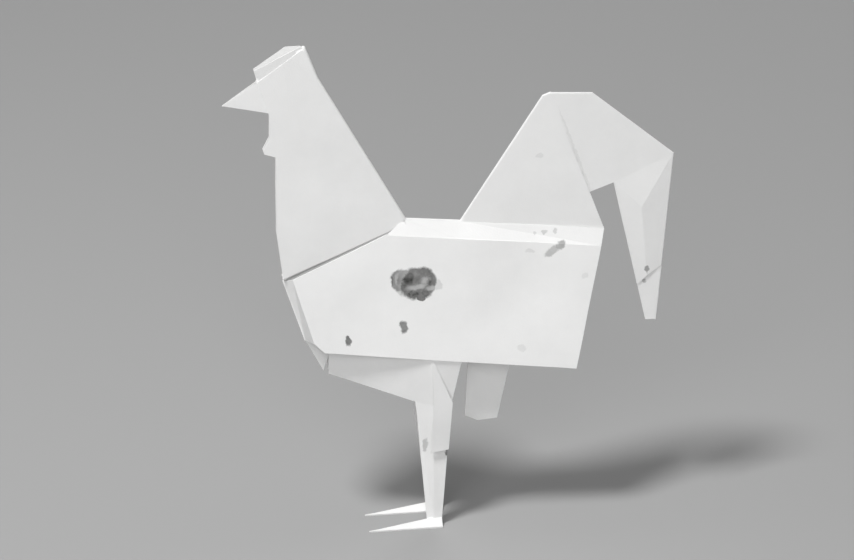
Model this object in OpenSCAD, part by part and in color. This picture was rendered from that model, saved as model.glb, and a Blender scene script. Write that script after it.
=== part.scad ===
// Origami rooster folded from one square of white paper, standing on its two feet.
// It faces -X, its left side faces -Y and the floor is z = 0.
// The origin lies on the floor, midway between the beak tip and the tail corner.
// Outline points are [x, z] pairs in side view, and each leaf of paper lies in its
// own plane through named half-widths. The right side mirrors the left one.

/* [Paper] */
// Thickness of one layer of paper
paper = 0.11; // [0.09:0.01:0.13]
// Layers pressed together in the side panels and the tail
body_layers = 2; // [2:1:3]
// Layers pressed together in the neck
neck_layers = 4; // [3:1:5]
// Layers pressed together in the beak
beak_layers = 3; // [2:1:4]
// Layers pressed together in the legs and feet
leg_layers = 4; // [3:1:5]

/* [Back and side panels] */
// Height of the back above the floor at the shoulder, where neck and back meet
back_z = 82.2; // [79:0.2:86]
// Length of the closed back, from the shoulder to the root of the tail
back_len = 14.3; // [11:0.1:18]
// Distance from the shoulder back to the rump corner
rump_reach = 50.3; // [46:0.1:54]
// Fall of the back from the shoulder to the rump corner
rump_fall = 4.5; // [2:0.1:7]
// Height of the rear edge of the side panel
rump_h = 35.3; // [31:0.1:39]
// Forward lean of the rear edge, from top to bottom
rump_lean = 7.5; // [4:0.1:11]
// Rise of the bottom edge from the rump to the belly corner
belly_rise = 7; // [4:0.1:9]
// Distance from the shoulder forward to the belly corner
belly_reach = 20.6; // [18:0.1:23]
// Size of the cut across the belly corner
belly_cut = 2.5; // [1.5:0.1:3.5]
// Distance from the shoulder forward to the upper breast corner
breast_reach = 28.1; // [26:0.1:30]
// Fall from the shoulder to the upper breast corner
breast_fall = 13.6; // [12:0.1:16]
// Height of the band along the top of the panel, above its soft crease
band_h = 4.2; // [3:0.1:5.5]
// Half-width of the body at the crease under the shoulder
shoulder_half_w = 2.1; // [1.8:0.05:2.5]
// Half-width of the body at the crease by the rump
rump_half_w = 3.1; // [2.7:0.05:3.6]
// Half-width of the open underside, at the middle of the bottom edge
belly_half_w = 6.6; // [6:0.1:7.4]
// Gap between the inner faces at a closed fold
fold_gap = 0.3; // [0.2:0.05:0.5]

/* [Neck] */
// Distance from the shoulder forward to the crown of the head
crown_reach = 24.4; // [22:0.1:27]
// Height of the crown above the shoulder
crown_h = 45.5; // [42:0.1:49]
// Distance from the shoulder forward to the straight front edge of the neck
neck_reach = 31.7; // [30:0.1:33]
// Distance from the shoulder forward to the foot of the breast edge
keel_reach = 25; // [23:0.1:26]
// Fall from the shoulder to the foot of the breast edge
keel_fall = 30.9; // [29:0.1:33]
// Length of the tongue of paper below the breast edge
tongue_len = 8.5; // [6:0.1:10]
// Half-width of the neck at its open front edge
neck_half_w = 1.5; // [1.2:0.05:1.8]
// Height, at the front, of the strip where the neck's leaves press together and go in
// between the panels
tuck_h = 1.1; // [0.7:0.1:1.6]
// How far below the shoulder that strip begins at the back
tuck_sink = 1.2; // [0.8:0.1:1.6]
// How far the back of the neck dips in below the crown
nape_dip = 1.1; // [0.6:0.1:1.6]
// Distance from the crown down to that dip
nape_drop = 8.6; // [6:0.1:12]

/* [Head] */
// Distance from the shoulder forward to the beak tip
head_reach = 44.4; // [42:0.1:47]
// Height of the beak tip above the shoulder
beak_h = 31.7; // [29:0.1:34]
// Depth of the beak where it leaves the head
beak_depth = 7.9; // [6.5:0.1:9]
// Rise of the comb's front point above the top of the beak
comb_step = 3; // [2:0.1:4.5]
// How far the comb's front point stands ahead of the top of the beak
comb_reach = 0.75; // [0.3:0.05:1.2]
// Height of the front half of the far comb above the straight near one
comb_spread = 1.6; // [1:0.1:2.5]
// Half-width of the comb at its front point
comb_half_w = 1.1; // [1:0.05:1.5]
// Height of the upright edge below the throat
throat_h = 6.6; // [5:0.1:8]
// Drop of the wattle below the throat
wattle_drop = 10.5; // [8:0.1:13]
// How far the wattle stands ahead of the neck
wattle_reach = 3; // [2.4:0.1:3.8]

/* [Legs and feet] */
// Height of the crotch, where the belly leaf narrows into the leg
crotch_z = 34.4; // [32:0.1:37]
// Distance from the shoulder forward to the front corner of the belly leaf
apron_reach = 19.3; // [18:0.1:20.5]
// Height of the front corner of the belly leaf
apron_z = 42.3; // [41:0.1:44]
// Width of the leg at the crotch
leg_top_w = 9.1; // [8:0.1:10.2]
// Distance from the leg's front edge back to its lengthwise crease, at the crotch
crease_in = 3.8; // [3.2:0.1:4.4]
// How far the belly leaf's rear corner and the outer layer go in above the panel's edge
hem_in = 1.2; // [0.8:0.1:2]
// Length of the belly leaf's root along the inside of the panel
root_len = 12; // [9:0.5:15]
// Width of the leg at the ankle
ankle_w = 3.7; // [3:0.1:4.4]
// Distance from the shoulder back to the rear edge of the leg at the floor
heel_reach = 8.9; // [7.5:0.1:10]
// Height of the free lower end of the leg's outer layer
cuff_z = 20.5; // [17:0.1:24]
// Height to which the leg's layers run up inside the panel, above the bottom edge
root_h = 24; // [18:0.5:27]
// Half the distance between the middles of the two feet
foot_half_gap = 4.75; // [4.2:0.05:5.6]
// Length of the foot from heel to toe
foot_len = 18.9; // [16:0.1:22]
// How far both toes point to the bird's left
toe_turn = 2.6; // [0:0.1:2.7]
// Width of the foot at the heel
foot_w = 5; // [4:0.1:6]
// Height of the foot's ridge at the ankle
foot_h = 2.2; // [1.6:0.1:3]
// How far the right ankle stands behind the left one
right_ankle_back = 1.3; // [0:0.1:2]

/* [Tail] */
// Distance from the shoulder back to the rear corner of the tail
tail_reach = 67.6; // [64:0.1:71]
// Height of the rear corner of the tail above the shoulder
tail_corner_h = 14; // [12:0.1:17]
// Distance from the shoulder back to the front of the tail's top
tail_top_reach = 34.6; // [32:0.1:37]
// Height of the tail's top above the shoulder
tail_h = 30.5; // [28:0.1:33]
// Length of the flat top of the tail
tail_top_len = 12.2; // [10:0.1:14]
// Distance from the shoulder back to the notch inside the bend of the tail
notch_reach = 52.7; // [51:0.1:54]
// Height of the notch above the shoulder
notch_h = 7.2; // [6:0.1:8.5]
// Depth of the tail inside the body
tail_tuck = 5; // [3:0.1:6]
// Height of the tail's hanging point above the floor
point_z = 51.8; // [47:0.1:56]
// Blunt width of the hanging point
point_w = 2.6; // [1.8:0.1:3.4]
// Height of the end of the hanging point's outer layer
point_cuff_z = 64; // [61:0.1:68]
// Half-width of the tail where it leaves the rump
tail_half_w = 1.4; // [1.2:0.05:1.6]
// Half-width of the second stretch by the notch, inside the base of the tail
notch_half_w = 0.6; // [0.4:0.05:0.7]
// Half-width of the hanging point at the top of its ridge
ridge_half_w = 1.05; // [0.8:0.05:1.4]
// Drop of the top of the ridge below the tail's rear corner
ridge_drop = 13.6; // [11:0.1:16]
// Distance from the notch back to the top of the ridge
ridge_back = 7.2; // [6:0.1:8.4]

/* [Under flap] */
// Height of the flap's lower end above the floor
flap_z = 26.8; // [24:0.1:31]
// Width of the flap at its lower end
flap_w = 8; // [6:0.1:9.5]
// Width of the flap under the body
flap_top_w = 11.3; // [10:0.1:12.6]
// Distance from the shoulder back to the flap's front edge
flap_reach = 16.4; // [15:0.1:18]

/* [Hidden] */
paper_white = "whitesmoke";
body_t = paper * body_layers;
neck_t = paper * neck_layers;
beak_t = paper * beak_layers;
leg_t = paper * leg_layers;
shoulder_x = (head_reach - tail_reach) / 2;

// Side-view points of the back and the side panel, counted from the shoulder
shoulder = [shoulder_x, back_z];
rump = shoulder + [rump_reach, -rump_fall];
tail_root = shoulder + (rump - shoulder) * back_len / rump_reach;
rump_foot = rump - [rump_lean, rump_h];
belly = [shoulder_x - belly_reach, rump_foot[1] + belly_rise];
breast_foot = belly + [-belly_cut, belly_cut];
breast = shoulder - [breast_reach, breast_fall];
belly_mid = (rump_foot + belly) / 2;
// Height of the panel's bottom edge at x
function hem(x) = rump_foot[1] + (rump_foot[0] - x) * belly_rise / (rump_foot[0] - belly[0]);
crease_front = shoulder - [0, band_h];
crease_mid = tail_root - [0, band_h];
crease_rear = rump - [rump_lean * band_h / rump_h, band_h];

// Collar point: where the crease of the top band runs out at the panel's front edge
collar_slope = (shoulder[1] - breast[1]) / (shoulder[0] - breast[0]);
collar = shoulder - [band_h / 2, band_h / 2] - [2.5, 2.5 * collar_slope];

// Point p, given as [x, z], put into plane k, where y = k[0] + k[1] x + k[2] z
function on(p, k) = [p[0], k[0] + k[1] * p[0] + k[2] * p[1], p[1]];
// Side-view point p at half-width w on the left side
function left(p, w) = [p[0], -w, p[1]];
// Plane through three points
function plane(a, b, c) =
    let (u = b - a, v = c - a, d = u[0] * v[2] - u[2] * v[0],
         kx = (u[1] * v[2] - u[2] * v[1]) / d, kz = (u[0] * v[1] - u[1] * v[0]) / d)
    [a[1] - kx * a[0] - kz * a[2], kx, kz];
// The same plane moved by s towards the middle of the bird
function inward(k, s) = [k[0] + s * sqrt(1 + k[1] * k[1] + k[2] * k[2]), k[1], k[2]];

// One flat leaf of paper, t thick, with square-cut edges. Its first three points
// must not lie on one line.
module leaf(outline, t) {
    o = outline[0];
    u = (outline[1] - o) / norm(outline[1] - o);
    w = cross(u, outline[2] - o);
    n = w / norm(w);
    v = cross(n, u);
    multmatrix([[u[0], v[0], n[0], o[0]], [u[1], v[1], n[1], o[1]], [u[2], v[2], n[2], o[2]]])
        linear_extrude(t, center = true)
            polygon([for (p = outline) [(p - o) * u, (p - o) * v]]);
}

// The rounded back of a fold between two points, d thick
module fold(a, b, d) {
    hull() {
        translate(a) sphere(d = d, $fn = 8);
        translate(b) sphere(d = d, $fn = 8);
    }
}

// A soft crease in one leaf of the panel
module soft_fold(a, b) {
    fold(a, b, body_t * 1.02);
}

// A left-hand shape and its mirrored right-hand twin
module both() {
    children();
    mirror([0, 1, 0]) children();
}

// Planes of the side panel and of the leaves inside it
panel_k = plane(left(crease_front, shoulder_half_w), left(crease_rear, rump_half_w),
    left(belly_mid, belly_half_w));
ridge_w = (fold_gap + body_t) / 2;
spine_w = (fold_gap + neck_t) / 2;

// Neck points
crown = shoulder + [-crown_reach, crown_h];
neck_foot = [shoulder_x - neck_reach, shoulder[1] - 2];
breast_edge = [breast[0] - 2.1, breast[1] - 1.2];
keel = shoulder - [keel_reach, keel_fall];
tongue = keel + [tongue_len * 0.52, -tongue_len];
neck_k = plane(left(crown, spine_w), left(shoulder, spine_w), left(neck_foot, neck_half_w));
neck_run = (shoulder - crown) / norm(shoulder - crown);
dip = crown + neck_run * nape_drop + [neck_run[1], -neck_run[0]] * nape_dip;
neck_bend = breast_edge + (neck_foot - breast_edge) * tuck_h / (neck_foot[1] - breast_edge[1]);

// Head points
beak_tip = shoulder + [-head_reach, beak_h];
throat = [neck_foot[0] - 1.4, beak_tip[1] - 2.1];
throat_low = throat - [0, throat_h];
brow = [throat[0] - 2.7, throat[1] + beak_depth];
comb_front = brow + [-comb_reach, comb_step];
comb_top = crown + [-0.8, 0.5];
wattle = [neck_foot[0] - wattle_reach, throat[1] - wattle_drop];
wattle_top = wattle + [0, 0.8];
wattle_foot = [neck_foot[0], wattle[1] - 0.9];

// Belly leaf and leg points
heel_x = shoulder_x + heel_reach;
apron = [shoulder_x - apron_reach, apron_z];
crotch = [heel_x + 2.6 - leg_top_w, crotch_z];
ankle = [heel_x - ankle_w, foot_h];
heel = [heel_x, 0];
knee_rear = [heel_x + 2.6, crotch_z];
hip = [heel_x + 5.1, hem(heel_x + 5.1)];
leg_w = foot_half_gap;

// Tail points
tail_corner = shoulder + [tail_reach, tail_corner_h];
tail_top = shoulder + [tail_top_reach, tail_h];
tail_edge = tail_top + [1.8, 0.7];
tail_shoulder = tail_edge + [tail_top_len - 1.8, -0.5];
notch = shoulder + [notch_reach, notch_h];
notch_in = notch - [5.6, 2];
point_out = [tail_corner[0] - 3.3, point_z];
point_in = point_out - [point_w, 0];

// Side panel: the big outer leaf, the lighter band along its top edge and the narrow
// strip that closes the breast towards the neck
module side_panel() {
    panel = [breast, breast_foot, belly, rump_foot, crease_rear, collar];
    leaf([for (p = panel) on(p, panel_k)], body_t);
    top_front = left(shoulder, ridge_w);
    top_mid = left(tail_root, ridge_w);
    top_rear = left(rump, tail_half_w + body_t + 0.15);
    low_front = on(collar, panel_k);
    low_mid = on(crease_mid, panel_k);
    low_rear = on(crease_rear, panel_k);
    leaf([top_front, low_front, low_mid], body_t);
    leaf([top_front, low_mid, top_mid], body_t);
    leaf([top_mid, low_mid, low_rear], body_t);
    leaf([top_mid, low_rear, top_rear], body_t);
    soft_fold(low_front, low_rear);
    fold(low_front, on(breast, panel_k), body_t * 1.3);
    soft_fold(top_front, low_mid);
    soft_fold(top_mid, low_rear);
    strip_top = on(breast, panel_k);
    strip_low = on(breast_foot, panel_k);
    edge_top = left(breast_edge, spine_w);
    edge_low = left(keel, spine_w);
    leaf([strip_top, strip_low, edge_low], body_t);
    leaf([strip_top, edge_low, edge_top], body_t);
    soft_fold(strip_top, strip_low);
    soft_fold(strip_top, edge_low);
    fold(edge_top, edge_low, neck_t * 1.1);
}

// Neck and head in one leaf. Along the panels' front edges it bends in, closes, and
// runs on inside the body down to the tongue behind the breast edge.
module neck_leaf() {
    outer = [crown, brow, throat, throat_low, wattle_top, wattle + [0.3, 0], wattle_foot,
        neck_foot, neck_bend, shoulder - [0, tuck_sink], shoulder, dip];
    leaf([for (p = outer) on(p, neck_k)], neck_t);
    bend = on(neck_bend, neck_k);
    low = left(breast_edge, spine_w);
    high = on(shoulder - [0, tuck_sink], neck_k);
    leaf([bend, low, high], neck_t);
    fold(bend, high, neck_t * 1.02);
    fold(low, high, neck_t * 1.02);
    inner = [shoulder, breast_edge, keel, tongue, tongue + [2.2, 6.5], shoulder + [1, -8]];
    leaf([for (p = inner) left(p, spine_w)], neck_t);
}

// Comb leaf: spreads out above the line from brow to crown, rise higher in front
module comb_leaf(rise) {
    comb_k = plane(on(brow, neck_k), on(crown, neck_k), left(comb_front, comb_half_w));
    peak = comb_front + (comb_top - comb_front) * 0.69 + [0, rise];
    outline = [crown, brow, comb_front, peak, comb_top];
    leaf([for (p = outline) on(p, comb_k)], body_t);
    soft_fold(on(brow, neck_k), on(crown, neck_k));
}

// Beak leaf: runs from the face in to the closed tip
module beak_leaf() {
    leaf([left(beak_tip, paper), on(throat, neck_k), on(brow, neck_k)], beak_t);
    fold(on(throat, neck_k), on(brow, neck_k), neck_t * 1.1);
}

// Leg leaves: the belly leaf turned in under the panel, the leg with its crease, and
// the short outer layer that ends free at the cuff. Its root lies against the panel.
module leg(back) {
    bend_x = crotch[0] + crease_in;
    bend_front = [bend_x, hem(bend_x) + hem_in];
    bend_y = on(bend_front, panel_k)[1] + (body_t + leg_t) / 2;
    root_k = inward(panel_k, (body_t + leg_t) / 2 - paper);
    root_low = [bend_front, hip + [0, 1], hip + [0, root_h], bend_front + [-7, root_h - 2],
        bend_front + [-root_len, 2]];
    leaf([for (p = root_low) on(p, root_k)], leg_t);
    apron_top = [apron[0], belly[1] + 0.4];
    knee = [bend_front[0] + 0.4, crotch_z - 1];
    belly_k = plane(left(apron, -on(apron, neck_k)[1]), left(crotch, leg_w - 0.2),
        on(bend_front, root_k));
    belly_leaf = [apron, crotch, knee, bend_front, bend_front + [-6, 0.8], apron_top];
    leaf([for (p = belly_leaf) on(p, belly_k)], leg_t);
    ankle_front = [ankle[0] + back, -leg_w + 0.35, foot_h / 2];
    ankle_rear = [heel[0] + back, -leg_w - 0.2, foot_h / 2];
    ankle_mid = (ankle_front + ankle_rear) / 2 - [0, 0.35, 0];
    front = on(crotch, belly_k);
    middle = on(knee, belly_k);
    rear = left(knee_rear, -middle[1]);
    hip_in = [hip[0], on(hip, root_k)[1] + 0.1, hip[1] + 1.5];
    leaf([front, middle, ankle_mid], leg_t);
    leaf([front, ankle_mid, ankle_front], leg_t);
    leaf([middle, rear, ankle_rear], leg_t);
    leaf([middle, ankle_rear, ankle_mid], leg_t);
    leaf([on(bend_front, belly_k), hip_in, rear], leg_t);
    leaf([on(bend_front, belly_k), rear, middle], leg_t);
    fold(front, middle, leg_t * 1.1);
    fold(middle, rear, leg_t * 1.1);
    fold(on(bend_front, belly_k), middle, leg_t * 1.1);
    fold(middle, ankle_mid, leg_t * 1.1);
    fold(front, ankle_mid, leg_t * 1.1);
    fold(middle, ankle_rear, leg_t * 1.1);
    fold(on(bend_front, belly_k), hip_in, leg_t * 1.1);
    fold(on(bend_front, belly_k), rear, leg_t * 1.1);
}

// Foot: the leg's end turned forward and pressed to the floor, a flat sole below and
// two faces that meet in a low ridge above
module foot(back, turn) {
    toe = [heel_x - foot_len, -leg_w - turn, 0];
    heel_l = [heel_x + back, -leg_w - foot_w / 2, 0];
    heel_r = [heel_x + back, -leg_w + foot_w / 2, 0];
    top = [heel_x + back, -leg_w, foot_h];
    up = [0, 0, leg_t / 2];
    leaf([toe + up, heel_l + up, heel_r + up], leg_t);
    leaf([toe + up, heel_l + up, top], body_t);
    leaf([toe + up, heel_r + up, top], body_t);
    fold(toe + up, top, body_t * 1.1);
}

// Outer layer of the leg: hangs from inside the panel's edge and ends free
module leg_cuff() {
    top_x = crotch[0] + crease_in - 0.3;
    top_front = [top_x, hem(top_x) + hem_in];
    w = -on(top_front, panel_k)[1] - 0.14;
    outline = [left(top_front, w), left(knee_rear, w), left([heel_x + 1.7, cuff_z + 0.7], w),
        left([heel_x - 3, cuff_z], w), left([crotch[0] + crease_in + 0.6, crotch_z], w)];
    leaf(outline, body_t);
}

// Tail: base leaves closed along the front edge, rising from inside the body
tail_k = plane(left(tail_root, ridge_w), left(tail_top, ridge_w), left(rump, tail_half_w));
module tail_base() {
    outline = [tail_root, tail_top, tail_edge, rump, crease_rear - [0.4, tail_tuck - band_h],
        shoulder + [4.6, -tail_tuck - 0.6], shoulder + [4.6, -0.8]];
    leaf([for (p = outline) on(p, tail_k)], body_t);
}

// Second stretch of the tail: comes out between the base leaves and is closed along
// its upper rear edge
fan_w = (body_t + 0.08) / 2;
fan_k = plane(left(tail_shoulder, fan_w), left(tail_corner, fan_w),
    left(notch_in, notch_half_w));
module tail_fan() {
    outline = [tail_edge, tail_shoulder, tail_corner, notch, notch_in,
        notch_in - [5.3, 2], tail_edge + [0.2, -4]];
    leaf([for (p = outline) on(p, fan_k)], body_t);
}

// Hanging point of the tail: three faces that meet in a raised ridge, ending in a
// slanted edge, with an inner layer that runs on to the blunt end
module tail_point() {
    crest = left([notch[0] + ridge_back, tail_corner[1] - ridge_drop], ridge_half_w);
    corner = on(tail_corner, fan_k);
    inner = on(notch, fan_k);
    tip = left((point_in + point_out) / 2, fan_w + body_t + 0.1);
    rear_k = plane(corner, crest, tip);
    front_k = plane(inner, crest, tip);
    run = (point_cuff_z - crest[2]) / (tip[2] - crest[2]);
    cuff_mid = crest + (tip - crest) * run;
    out_run = (point_cuff_z + 2.5 - tail_corner[1]) / (point_z - tail_corner[1]);
    cuff_out = tail_corner + (point_out - tail_corner) * out_run;
    in_run = (point_cuff_z - 2.5 - notch[1]) / (point_z - notch[1]);
    cuff_in = notch + (point_in - notch) * in_run;
    leaf([corner, inner, crest], body_t);
    leaf([corner, crest, cuff_mid, on(cuff_out, rear_k)], body_t);
    leaf([inner, crest, cuff_mid, on(cuff_in, front_k)], body_t);
    soft_fold(corner, inner);
    soft_fold(crest, cuff_mid);
    soft_fold(corner, crest);
    soft_fold(inner, crest);
    liner = [tail_corner + [-1, -6], notch + [1.5, -6], point_in, point_out];
    leaf([for (p = liner) left(p, fan_w)], body_t);
}

// Under flap: the blunt end of the sheet, hanging in the middle from the closed back
module under_flap() {
    front = shoulder_x + flap_reach;
    outline = [[front, hem(front) + 1.5], [front + flap_top_w, hem(front + flap_top_w) + 1.5],
        [front + flap_w - 0.6, flap_z], [front + 2.4, flap_z - 0.4], [front - 0.9, flap_z + 1.2]];
    strap = [shoulder + [6, -1], tail_root + [0, -1], outline[1], outline[0]];
    leaf([for (p = outline) left(p, 0)], 2 * body_t);
    leaf([for (p = strap) left(p, 0)], 2 * body_t);
}

// The closed folds on the bird's middle line
module closed_folds() {
    fold(left(shoulder, 0), left(tail_root, 0), 2 * ridge_w + body_t);
    fold(left(shoulder, 0), left(dip, 0), 2 * spine_w + neck_t);
    fold(left(dip, 0), left(crown, 0), 2 * spine_w + neck_t);
    fold(left(tail_root, 0), left(tail_top, 0), 2 * ridge_w + body_t);
    fold(left(tail_top, 0), left(tail_edge, 0), 2 * ridge_w + body_t);
    fold(left(tail_edge, 0), left(tail_shoulder, 0), 2 * ridge_w);
    fold(left(tail_shoulder, 0), left(tail_corner, 0), 2 * fan_w + body_t);
    fold(left(tail_corner, 0), left(point_out, 0), 2 * fan_w + body_t);
}

module right() {
    mirror([0, 1, 0]) children();
}

module folded_rooster() {
    color(paper_white) union() {
        both() side_panel();
        both() neck_leaf();
        comb_leaf(0);
        right() comb_leaf(comb_spread);
        both() beak_leaf();
        leg(0);
        right() leg(right_ankle_back);
        foot(0, toe_turn);
        right() foot(right_ankle_back, -toe_turn);
        both() leg_cuff();
        both() tail_base();
        both() tail_fan();
        both() tail_point();
        under_flap();
        closed_folds();
    }
}

folded_rooster();
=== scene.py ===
import bpy, bmesh, math
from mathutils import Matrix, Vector, noise


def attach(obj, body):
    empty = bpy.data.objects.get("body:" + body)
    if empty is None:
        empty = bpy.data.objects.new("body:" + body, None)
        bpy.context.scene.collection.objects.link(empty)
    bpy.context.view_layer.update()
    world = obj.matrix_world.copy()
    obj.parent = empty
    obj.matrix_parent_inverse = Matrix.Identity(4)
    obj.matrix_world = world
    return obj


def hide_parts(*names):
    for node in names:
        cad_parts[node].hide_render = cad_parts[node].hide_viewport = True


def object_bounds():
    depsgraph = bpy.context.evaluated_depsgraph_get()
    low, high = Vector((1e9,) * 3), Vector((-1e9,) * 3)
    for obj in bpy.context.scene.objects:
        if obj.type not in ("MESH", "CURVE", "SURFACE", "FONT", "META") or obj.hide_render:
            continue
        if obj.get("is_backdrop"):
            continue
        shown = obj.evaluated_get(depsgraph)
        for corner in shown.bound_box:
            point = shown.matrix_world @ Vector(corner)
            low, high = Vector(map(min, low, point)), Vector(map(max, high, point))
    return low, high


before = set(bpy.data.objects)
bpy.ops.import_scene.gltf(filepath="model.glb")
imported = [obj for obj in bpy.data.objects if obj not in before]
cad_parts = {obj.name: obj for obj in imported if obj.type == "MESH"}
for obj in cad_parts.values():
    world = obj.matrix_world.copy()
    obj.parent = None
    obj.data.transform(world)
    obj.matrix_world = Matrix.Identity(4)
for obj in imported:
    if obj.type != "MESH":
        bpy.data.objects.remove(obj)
lo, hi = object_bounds()

# The sheet: one square of white paper, folded flat and opened into a rooster. The
# folds are crisp, but the leaves between them are a little wavy, as a handled sheet
# is. Only a few creases roll softly: those of the band along the back and of the comb.
same_point = 0.000002
same_plane = 0.00001
crisp_angle = math.radians(3)
crease_reach = 0.35
grid = 0.003
sole_z = 0.004
calm_height = 0.02
side_blend = 0.002
wave_depth = 0.0007
long_scale = 32
short_scale = 80
short_share = 0.4
short_seed = 3
# Side view, [x, z] in mm at both ends of each soft crease
soft_creases = (
    ((-16.2, 78.9), (37.8, 73.5)), ((-11.6, 82.2), (2.7, 76.7)), ((2.7, 80.9), (37.8, 73.5)),
    ((-47.4, 119.7), (-36.0, 127.7)))
sheet = bmesh.new()
sheet.from_mesh(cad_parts["folded_rooster"].data)
bmesh.ops.remove_doubles(sheet, verts=sheet.verts, dist=same_point)
for edge in sheet.edges:
    edge.smooth = edge.calc_face_angle(0) < crisp_angle
    middle = (edge.verts[0].co + edge.verts[1].co) / 2 * 1000
    for start, end in soft_creases:
        a, b, p = Vector(start), Vector(end), Vector((middle.x, middle.z))
        along = min(1, max(0, (p - a).dot(b - a) / (b - a).length_squared))
        if (a + (b - a) * along - p).length < crease_reach:
            edge.smooth = True
# The flat leaves get a grid of points, so that they can bend
for axis, first, last in ((0, lo[0], hi[0]), (2, sole_z, hi[2])):
    cut, across = Vector(), Vector()
    across[axis] = 1
    cut[axis] = first + grid
    while cut[axis] < last:
        every = sheet.verts[:] + sheet.edges[:] + sheet.faces[:]
        bmesh.ops.bisect_plane(
            sheet, geom=every, dist=same_plane, plane_co=cut, plane_no=across)
        cut[axis] += grid
# Waves: nearly all go inward, by 0.83 mm at most, and a few outward, by 0.12 mm at most.
# They fade out towards the soles.
for v in sheet.verts:
    x, y, z = v.co
    side = math.tanh(y / side_blend)
    free = min(1, max(0, (z - sole_z) / calm_height))
    long_wave = noise.noise(Vector((x * long_scale, side, z * long_scale)))
    short_wave = noise.noise(Vector((x * short_scale, short_seed, z * short_scale)))
    wave = long_wave + short_share * short_wave
    v.co.y += (wave - 0.5) * side * free * wave_depth
for face in sheet.faces:
    face.smooth = True
bmesh.ops.recalc_face_normals(sheet, faces=sheet.faces)
mesh = bpy.data.meshes.new("rooster_paper")
sheet.to_mesh(mesh)
sheet.free()
rooster = bpy.data.objects.new("rooster_paper", mesh)
bpy.context.scene.collection.objects.link(rooster)
weighted = rooster.modifiers.new("flat_leaves", "WEIGHTED_NORMAL")
weighted.mode = "FACE_AREA"
weighted.weight = 100
weighted.keep_sharp = True

# Its material: soft matt white paper with a very slight clouding. A faint fibre grain
# shows in its bump and its dullness.
paper = bpy.data.materials.new("white_paper")
paper.use_nodes = True
nodes, links = paper.node_tree.nodes, paper.node_tree.links
shader = nodes["Principled BSDF"]
shader.inputs["Specular IOR Level"].default_value = 0.25
here = nodes.new("ShaderNodeTexCoord").outputs["Object"]
cloud = nodes.new("ShaderNodeTexNoise")
cloud.inputs["Scale"].default_value = 110
cloud.inputs["Detail"].default_value = 5
cloud.inputs["Roughness"].default_value = 0.65
links.new(here, cloud.inputs["Vector"])
white = nodes.new("ShaderNodeMix")
white.data_type = "RGBA"
white.inputs["A"].default_value = (0.79, 0.79, 0.785, 1)
white.inputs["B"].default_value = (0.87, 0.87, 0.865, 1)
links.new(cloud.outputs["Fac"], white.inputs["Factor"])
fibre = nodes.new("ShaderNodeTexNoise")
fibre.inputs["Scale"].default_value = 2600
fibre.inputs["Detail"].default_value = 3
links.new(here, fibre.inputs["Vector"])
dull = nodes.new("ShaderNodeMapRange")
dull.inputs["To Min"].default_value = 0.7
dull.inputs["To Max"].default_value = 0.9
links.new(fibre.outputs["Fac"], dull.inputs["Value"])
links.new(dull.outputs["Result"], shader.inputs["Roughness"])
bump = nodes.new("ShaderNodeBump")
bump.inputs["Strength"].default_value = 0.25
bump.inputs["Distance"].default_value = 0.0001
links.new(fibre.outputs["Fac"], bump.inputs["Height"])
links.new(bump.outputs["Normal"], shader.inputs["Normal"])

# Dirt on its left side: a mottled blotch on the panel, with a paler rim in front and a
# paler middle, small spots and a smear round it. Painted shade too: dark marks where
# layers end on the leg and the tail, and a thin painted shadow line along the rear edge
# of the tail's base leaf. Each layer goes over the ones before it.
# Each patch is [x, z, width, height in mm, turn in degrees, how dark].
blotch = (
    (-12.6, 67.3, 5.6, 6.0, 0, 0.74), (-9.0, 66.2, 8.2, 8.4, -8, 0.89),
    (-7.2, 66.6, 6.6, 7.6, 0, 0.89), (-7.9, 62.8, 2.6, 2.4, 0, 0.9),
    (-3.7, 65.8, 2.6, 3.0, 0, 0.2))
core = (
    (-10.9, 67.4, 5.0, 5.8, 12, 1.0), (-12.2, 65.9, 3.0, 5.2, 8, 0.97),
    (-5.6, 67.0, 2.6, 4.6, 0, 0.96), (-9.6, 63.7, 5.4, 2.4, 4, 0.98),
    (-6.9, 63.8, 3.8, 2.6, 0, 0.97), (-14.9, 67.3, 0.9, 4.0, 0, 0.9))
pale = (
    (-8.8, 65.4, 6.8, 2.0, -10, 0.55), (-7.0, 66.9, 2.8, 2.4, -40, 0.6),
    (-5.2, 64.9, 3.8, 1.6, 0, 0.55), (-13.8, 67.6, 1.2, 4.0, 0, 0.55))
# Spots on the paper, and painted shade: the rows at (-6.8, 22.3) and (-1.3, 19.9) darken the
# leg where its layers end, those at (50.1, 65.5) and (49.4, 62.3) darken the tail spike
# where a layer ends, and the long thin one at (31.0, 98.6) is a painted shadow line along
# the rear edge of the tail's base leaf.
spots_and_layer_shade = (
    (-12.3, 55.3, 2.1, 3.6, 0, 0.8), (-26.4, 52.3, 1.7, 2.9, 0, 0.88),
    (27.4, 74.2, 3.2, 2.2, -30, 0.58), (25.2, 72.8, 4.2, 2.4, -30, 0.42),
    (21.1, 77.2, 0.8, 0.8, 0, 0.22), (23.6, 77.6, 1.3, 1.5, 0, 0.3),
    (26.2, 77.6, 1.2, 1.5, 0, 0.28), (19.8, 73.0, 2.8, 1.0, 0, 0.14),
    (17.4, 48.4, 2.6, 2.0, 20, 0.12), (33.6, 66.2, 1.6, 1.4, 0, 0.12),
    (22.3, 97.5, 2.0, 1.2, 0, 0.12), (-6.8, 22.3, 1.3, 4.0, 4, 0.34),
    (-1.3, 19.9, 1.7, 1.7, 0, 0.85), (50.1, 65.5, 1.0, 2.2, 8, 0.6),
    (49.4, 62.3, 1.1, 1.6, 30, 0.5), (31.0, 98.6, 0.7, 24, -21, 0.1))
# One dark colour for the stains and for the painted shade at the layer ends.
stain_and_shade_colour = (0.04, 0.04, 0.038, 1)
raggedness = 0.0022
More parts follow.
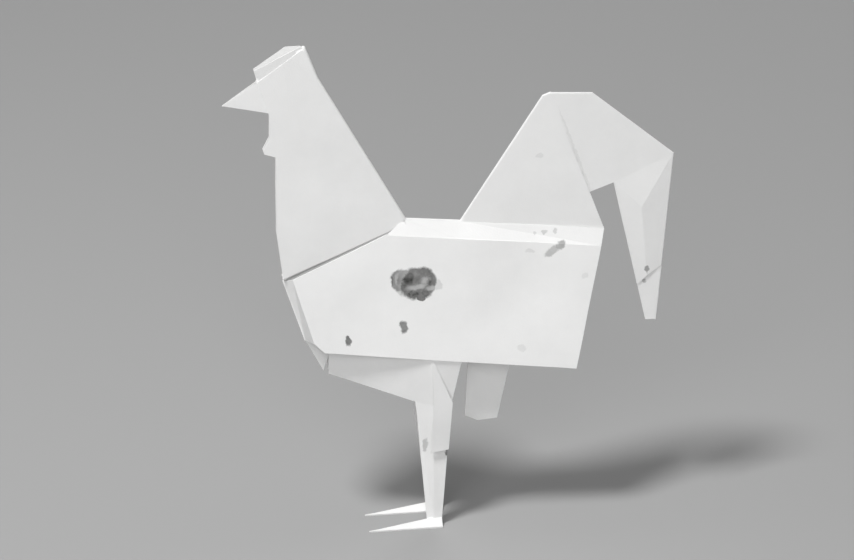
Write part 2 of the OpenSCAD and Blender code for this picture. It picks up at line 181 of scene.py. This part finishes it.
# So deep that only x and z count: a patch goes straight through the near half
depth = 1000
ragged = nodes.new("ShaderNodeTexNoise")
ragged.inputs["Scale"].default_value = 480
ragged.inputs["Detail"].default_value = 4
ragged.inputs["Roughness"].default_value = 0.6
links.new(here, ragged.inputs["Vector"])
shift = nodes.new("ShaderNodeVectorMath")
shift.operation = "MULTIPLY_ADD"
shift.inputs[1].default_value = (raggedness, 0, raggedness)
links.new(ragged.outputs["Color"], shift.inputs[0])
links.new(here, shift.inputs[2])
dirt_and_painted_shade = None
# Outer and inner say where a patch's edge begins and ends, as shares of its half-width
for layer, mode, outer, inner in (
    (blotch, "MAXIMUM", 1.1, 0.85), (core, "MAXIMUM", 1.15, 0.4),
    (pale, "MINIMUM", 1.3, 0.3), (spots_and_layer_shade, "MAXIMUM", 1.15, 0.7)):
    for x, z, wide, high, turn, dark in layer:
        spot = nodes.new("ShaderNodeMapping")
        spot.vector_type = "TEXTURE"
        middle = (x / 1000 + raggedness / 2, 0, z / 1000 + raggedness / 2)
        spot.inputs["Location"].default_value = middle
        spot.inputs["Rotation"].default_value = (0, math.radians(turn), 0)
        spot.inputs["Scale"].default_value = (wide / 2000, depth, high / 2000)
        links.new(shift.outputs[0], spot.inputs["Vector"])
        far = nodes.new("ShaderNodeVectorMath")
        far.operation = "LENGTH"
        links.new(spot.outputs[0], far.inputs[0])
        fade = nodes.new("ShaderNodeMapRange")
        fade.interpolation_type = "SMOOTHSTEP"
        fade.inputs["From Min"].default_value = outer
        fade.inputs["From Max"].default_value = inner
        fade.inputs["To Min"].default_value = 1 if mode == "MINIMUM" else 0
        fade.inputs["To Max"].default_value = dark
        links.new(far.outputs["Value"], fade.inputs["Value"])
        if dirt_and_painted_shade is None:
            dirt_and_painted_shade = fade.outputs[0]
        else:
            joined = nodes.new("ShaderNodeMath")
            joined.operation = mode
            links.new(dirt_and_painted_shade, joined.inputs[0])
            links.new(fade.outputs[0], joined.inputs[1])
            dirt_and_painted_shade = joined.outputs[0]
mottle = nodes.new("ShaderNodeMapRange")
mottle.inputs["From Min"].default_value = 0.3
mottle.inputs["From Max"].default_value = 0.7
mottle.inputs["To Min"].default_value = 0.8
mottle.inputs["To Max"].default_value = 1.04
links.new(ragged.outputs["Fac"], mottle.inputs["Value"])
patchy = nodes.new("ShaderNodeMath")
patchy.operation = "MULTIPLY"
links.new(dirt_and_painted_shade, patchy.inputs[0])
links.new(mottle.outputs[0], patchy.inputs[1])
apart = nodes.new("ShaderNodeSeparateXYZ")
links.new(here, apart.inputs[0])
near = nodes.new("ShaderNodeMath")
near.operation = "LESS_THAN"
near.inputs[1].default_value = 0
links.new(apart.outputs["Y"], near.inputs[0])
left = nodes.new("ShaderNodeMath")
left.operation = "MULTIPLY"
links.new(patchy.outputs[0], left.inputs[0])
links.new(near.outputs[0], left.inputs[1])
# Mixes the dark colour in where the stains and the painted shade lie, on the near half only.
tint = nodes.new("ShaderNodeMix")
tint.data_type = "RGBA"
tint.inputs["B"].default_value = stain_and_shade_colour
links.new(left.outputs[0], tint.inputs["Factor"])
links.new(white.outputs["Result"], tint.inputs["A"])
links.new(tint.outputs["Result"], shader.inputs["Base Color"])
mesh.materials.append(paper)
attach(rooster, "root")
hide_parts("folded_rooster")

# Floor and backdrop: one plain pale sheet that lies flat under the bird and curves up
# far behind it.
front_y, bend_y, bend_r, top_z, half_w, steps = -3.0, 1.2, 0.8, 4.0, 4, 12
rows = [(front_y, 0), (bend_y, 0)]
for step in range(1, steps + 1):
    turn = step * math.pi / (2 * steps)
    rows.append((bend_y + bend_r * math.sin(turn), bend_r - bend_r * math.cos(turn)))
rows.append((bend_y + bend_r, top_z))
points = [(x, y, z) for y, z in rows for x in (-half_w, half_w)]
faces = [(2 * i, 2 * i + 1, 2 * i + 3, 2 * i + 2) for i in range(len(rows) - 1)]
sweep = bpy.data.meshes.new("floor")
sweep.from_pydata(points, [], faces)
floor = bpy.data.objects.new("floor", sweep)
bpy.context.scene.collection.objects.link(floor)
sweep.shade_smooth()
matt = bpy.data.materials.new("pale_floor")
matt.use_nodes = True
surface = matt.node_tree.nodes["Principled BSDF"]
surface.inputs["Base Color"].default_value = (0.36, 0.36, 0.36, 1)
surface.inputs["Roughness"].default_value = 0.9
sweep.materials.append(matt)
floor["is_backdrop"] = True

# Light: a soft lamp almost overhead and a little in front, which draws the body's
# shadow and lights the leaning panels more than the upright neck. A wide one in front
# and a wide one behind fill the two sides, with a dim grey sky for the rest.
aim = Vector((0, 0, 0.07))
for name, stand_at, across, power in (
    ("top", (-0.42, -0.34, 1.13), 0.25, 12.2), ("front", (-0.45, -1.35, 0.75), 1.2, 11),
    ("back", (0.5, 1.5, 0.9), 1.2, 9)):
    lamp = bpy.data.lights.new(name, "AREA")
    lamp.shape = "DISK"
    lamp.size = across
    lamp.energy = power
    stand = bpy.data.objects.new(name, lamp)
    bpy.context.scene.collection.objects.link(stand)
    stand.location = stand_at
    stand.rotation_euler = (aim - stand.location).to_track_quat("-Z", "Y").to_euler()
world = bpy.data.worlds.new("sky")
world.use_nodes = True
sky = world.node_tree.nodes["Background"]
sky.inputs["Color"].default_value = (0.12, 0.12, 0.12, 1)
sky.inputs["Strength"].default_value = 1
bpy.context.scene.world = world
bpy.context.scene.view_settings.view_transform = "Standard"

# Camera: at the photograph's angle, 22 degrees down and a little from the bird's front,
# through a long lens as the photo's nearly parallel lines ask for.
camera = bpy.data.objects.new("camera", bpy.data.cameras.new("camera"))
bpy.context.scene.collection.objects.link(camera)
camera.location = (-0.10903, -0.73453, 0.36529)
look = Vector((-0.0058, 0, 0.0656)) - camera.location
camera.rotation_euler = look.to_track_quat("-Z", "Y").to_euler()
camera.data.lens = 134.9
camera.data.sensor_width = 36
camera.data.clip_start = 0.05
camera.data.clip_end = 20
bpy.context.scene.camera = camera

lo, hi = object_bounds()
